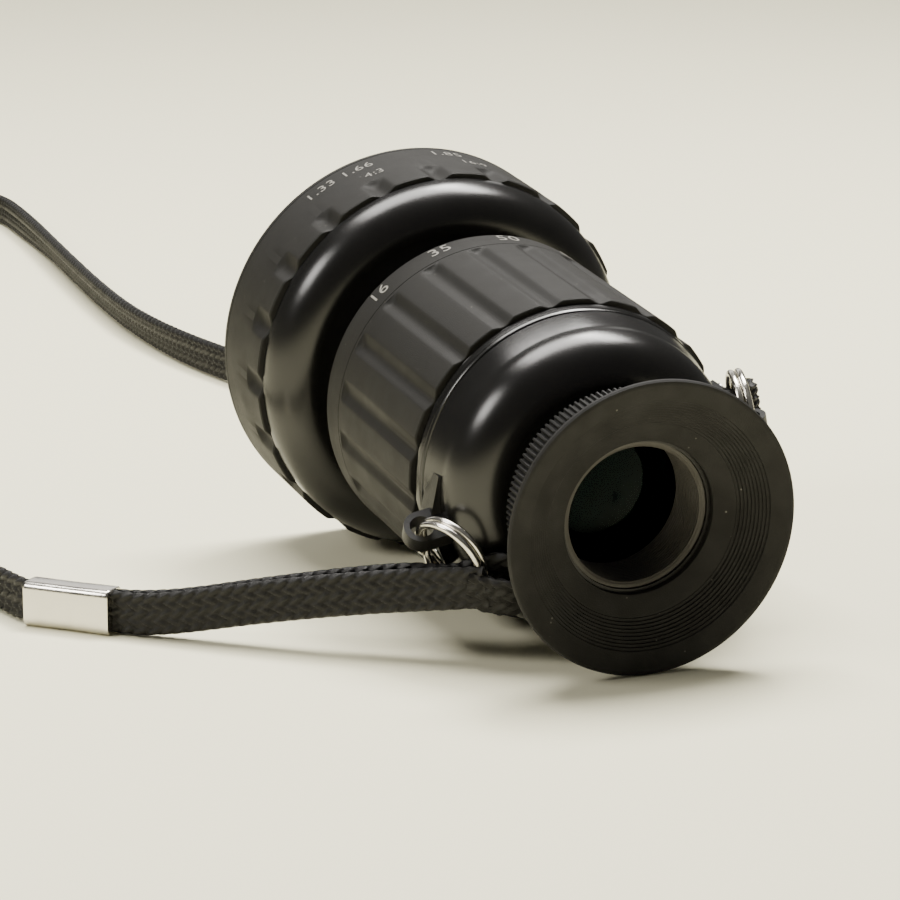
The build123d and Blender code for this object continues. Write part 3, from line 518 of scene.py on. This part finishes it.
def fluted(radius, depth, half, start, degrees):
    """The radius at an angle on a ring with twenty soft-edged flutes."""
    off = abs((degrees - start + 9) % 18 - 9)
    if off >= half:
        return radius
    return radius - depth * (0.5 + 0.5 * math.cos(math.pi * off / half)) ** 0.8


def flute_angles(start, half):
    """Angles for one turn, close together across each flute."""
    picks = []
    for flute in range(20):
        middle = start + 18 * flute
        picks += [middle + half * k / 12 for k in range(-12, 13)]
        picks += [middle + half + (18 - 2 * half) * k / 8 for k in range(1, 8)]
    return picks


zoom_start = 9.0
picks = flute_angles(zoom_start, 4.4)
loops = []
for s, shrink in ((28.1, 0.22), (28.18, 0.08), (28.34, 0.0), (41.0, 0.0), (53.4, 0.0), (53.8, 0.0)):
    loops.append([at(s, fluted(22.7, 0.6, 4.4, zoom_start, a) - shrink, a) for a in picks])
for s, grow in ((54.15, 0.14), (54.45, 0.36), (54.7, 0.7), (54.85, 1.0)):
    loops.append([
        at(s, fluted(22.7, 0.6, 4.4, zoom_start, a) * (1 - grow) + 22.7 * grow, a) for a in picks
    ])
for s, r in (
    (55.36, 22.7), (55.42, 22.62), (55.50, 22.62), (55.56, 22.7), (60.0, 22.66), (60.28, 22.58),
    (60.44, 22.44), (60.5, 22.2),
    (60.5, 19.62), (28.1, 19.62),
):
    loops.append([at(s, r, a) for a in picks])
zoom_ring = skin("zoom_grip", loops, sharp=26)
zoom_ring.data.materials.append(ring_black)
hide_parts("zoom_ring")
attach(zoom_ring, "zoom")

# Front body: a wide turned head with a rounded shoulder, satin black like the rear cup.
head = [(68.0, 17.52), (68.0, 21.3)]
for index in range(1, 15):
    a = math.radians(index * 87 / 14)
    head.append((74.0 - 6.0 * math.cos(a), 21.3 + 6.0 * math.sin(a)))
head += [(73.7, 27.28), (73.7, 24.5), (87.0, 24.5), (87.0, 22.02), (81.0, 22.02), (81.0, 17.52)]
head_piece = turned("front_head", head, 288, 32)
head_piece.data.materials.append(satin)
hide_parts("front_body")
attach(head_piece, "body")

# Ratio ring: the wide front ring, milled with twenty short round flutes at its rear edge.
ratio_start = 15.0
picks = flute_angles(ratio_start, 4.2)
loops = []
for s, shrink in ((74.0, 0.36), (74.08, 0.14), (74.3, 0.0), (75.5, 0.0), (76.4, 0.0), (77.0, 0.0)):
    loops.append([at(s, fluted(28.0, 0.85, 4.2, ratio_start, a) - shrink, a) for a in picks])
for s, grow in ((77.7, 0.08), (78.2, 0.28), (78.55, 0.6), (78.75, 0.85), (78.95, 1.0)):
    loops.append([
        at(s, fluted(28.0, 0.85, 4.2, ratio_start, a) * (1 - grow) + 28.0 * grow, a) for a in picks
    ])
for s, r in (
    (84.0, 28.0), (87.9, 28.0), (87.95, 27.93), (88.05, 27.93), (88.1, 28.0), (88.75, 28.0),
    (88.95, 27.94), (89.07, 27.8), (89.1, 27.6),
    (89.1, 26.3), (88.9, 26.1), (86.7, 26.1), (86.7, 24.56), (74.0, 24.56),
):
    loops.append([at(s, r, a) for a in picks])
ratio_ring = skin("ratio_grip", loops, sharp=26)
ratio_ring.data.materials.append(ring_black)
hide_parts("ratio_ring")
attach(ratio_ring, "ratio")

# Scales: generic focal lengths and picture shapes, engraved and filled with off-white paint, drawn as a dim
# grey with uneven patches.
ink = surface(
    "scale_paint", (0.15, 0.145, 0.13), (0.26, 0.25, 0.225), 0.0, 0.5, 0.7, 4000, 0.2, 1500, specular=0.3
)


def engraved(name, words, station, angle, radius, height, body, owner):
    """Numbers laid on a ring, their tops toward the front."""
    text = bpy.data.curves.new(name, "FONT")
    text.body = words
    text.size = height / 0.7
    text.align_x = "CENTER"
    text.space_character = 1.1
    holder = bpy.data.objects.new(name, text)
    bpy.context.scene.collection.objects.link(holder)
    bpy.context.view_layer.update()
    mesh = bpy.data.meshes.new_from_object(holder.evaluated_get(bpy.context.evaluated_depsgraph_get()))
    bpy.data.objects.remove(holder)
    bm = bmesh.new()
    bm.from_mesh(mesh)
    bmesh.ops.remove_doubles(bm, verts=bm.verts, dist=1e-5)
    bmesh.ops.triangulate(bm, faces=bm.faces)
    top = bmesh.ops.extrude_face_region(bm, geom=bm.faces[:])
    raised = [g for g in top["geom"] if isinstance(g, bmesh.types.BMVert)]
    bmesh.ops.translate(bm, verts=raised, vec=(0, 0, 0.06))
    for vert in bm.verts:
        x, y, z = vert.co
        vert.co = at(station + y, radius - 0.03 + z, angle + math.degrees(x / radius))
    bmesh.ops.recalc_face_normals(bm, faces=bm.faces)
    bm.to_mesh(mesh)
    bm.free()
    piece = bpy.data.objects.new(name, mesh)
    bpy.context.scene.collection.objects.link(piece)
    piece.data.materials.append(ink)
    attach(piece, body)
    return piece


zoom_numbers = (("16", -45.5), ("35", -19.0), ("50", 7.0), ("85", 33.0), ("120", 62.0))
for index, (words, angle) in enumerate(zoom_numbers):
    engraved("zoom_number_%d" % index, words, 57.4, angle, 22.68, 2.3, "zoom", zoom_ring)
for index, (words, angle) in enumerate((("1.33", -33.0), ("1.66", -20.5), ("1.85", 8.0), ("2.35", 40.0))):
    engraved("ratio_number_%d" % index, words, 84.6, angle, 28.0, 1.9, "ratio", ratio_ring)
for index, (words, angle) in enumerate((("4:3", -17.8), ("16:9", 14.0))):
    engraved("ratio_mark_%d" % index, words, 80.8, angle, 28.0, 1.6, "ratio", ratio_ring)

# Lugs and their screws: saddles of blacked steel with an eye, each held by one small screw.
lug_black = surface(
    "lug_black", (0.0035, 0.0035, 0.0033), (0.0065, 0.0063, 0.006), 0.0, 0.36, 0.5, 4000, 0.15, 500,
    specular=0.3,
)
for name in ("lug_left", "lug_right"):
    nodes[name].data.materials.clear()
    nodes[name].data.materials.append(lug_black)
nodes["lug_screws"].data.materials.clear()
nodes["lug_screws"].data.materials.append(steel)

# Split rings: two close turns of nickel-plated spring wire, stepping over from one turn to the other.
nickel = surface("nickel", (0.60, 0.575, 0.52), (0.74, 0.715, 0.655), 1.0, 0.16, 0.27, 2500, 0.06, 500)
for name, eye, hang, wire in (
    ("left", left_eye, left_hang, left_wire),
    ("right", right_eye, right_hang, right_wire),
):
    middle = eye + hang * 0.0052
    axis = hang.cross(wire).normalized()
    loops = []
    count = 220
    for index in range(count + 1):
        t = index / count * 4 * math.pi
        over = min(1, max(0, (t - 2 * math.pi + 0.35) / 0.7))
        shift = -0.00052 + 0.00104 * over * over * (3 - 2 * over)
        ray = hang * math.cos(t + 2.4) + wire * math.sin(t + 2.4)
        size = 0.0005 * min(1, 0.35 + min(index, count - index) / 3)
        centre = middle + ray * 0.0052 + axis * shift
        loops.append([
            centre + ray * size * math.cos(b) + axis * size * math.sin(b)
            for b in [2 * math.pi * k / 14 for k in range(14)]
        ])
    ring = skin("split_ring_" + name + "_wire", loops, close=False, sharp=60)
    ring.data.materials.append(nickel)
    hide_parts("split_ring_" + name)
    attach(ring, "ring_" + name)

# Crimps: flat sleeves of nickel-plated brass strip, folded round the doubled braid and pressed.
for name, mouth, way in (("left", left_mouth, left_run), ("right", right_mouth, right_run)):
    sideways = way.cross(Vector((0, 0, 1))).normalized()
    outline = []
    for corner_y, corner_z, first in ((1, 1, 0), (-1, 1, 90), (-1, -1, 180), (1, -1, 270)):
        for k in range(7):
            a = math.radians(first + 15 * k)
            outline.append((corner_y * 1.1 + math.cos(a) * 1.0, corner_z * 2.125 + math.sin(a) * 1.0))
    loops = []
    for x, shrink in (
        (0.0, 0.30), (0.0, 0.12), (0.12, 0.02), (0.35, 0.0), (4.0, 0.03), (6.5, 0.05), (9.0, 0.03),
        (12.65, 0.0), (12.88, 0.02), (13.0, 0.12), (13.0, 0.30),
    ):
        loops.append([
            mouth
            + way * (x / 1000)
            + sideways * (y * (1 - shrink / 2.1) / 1000)
            + Vector((0, 0, z * (1 - shrink / 3.125) / 1000))
            for y, z in outline
        ])
    crimp = skin("crimp_" + name + "_sleeve", loops, close=False, sharp=40)
    crimp.data.materials.append(nickel)
    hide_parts("crimp_" + name)
    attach(crimp, "body")
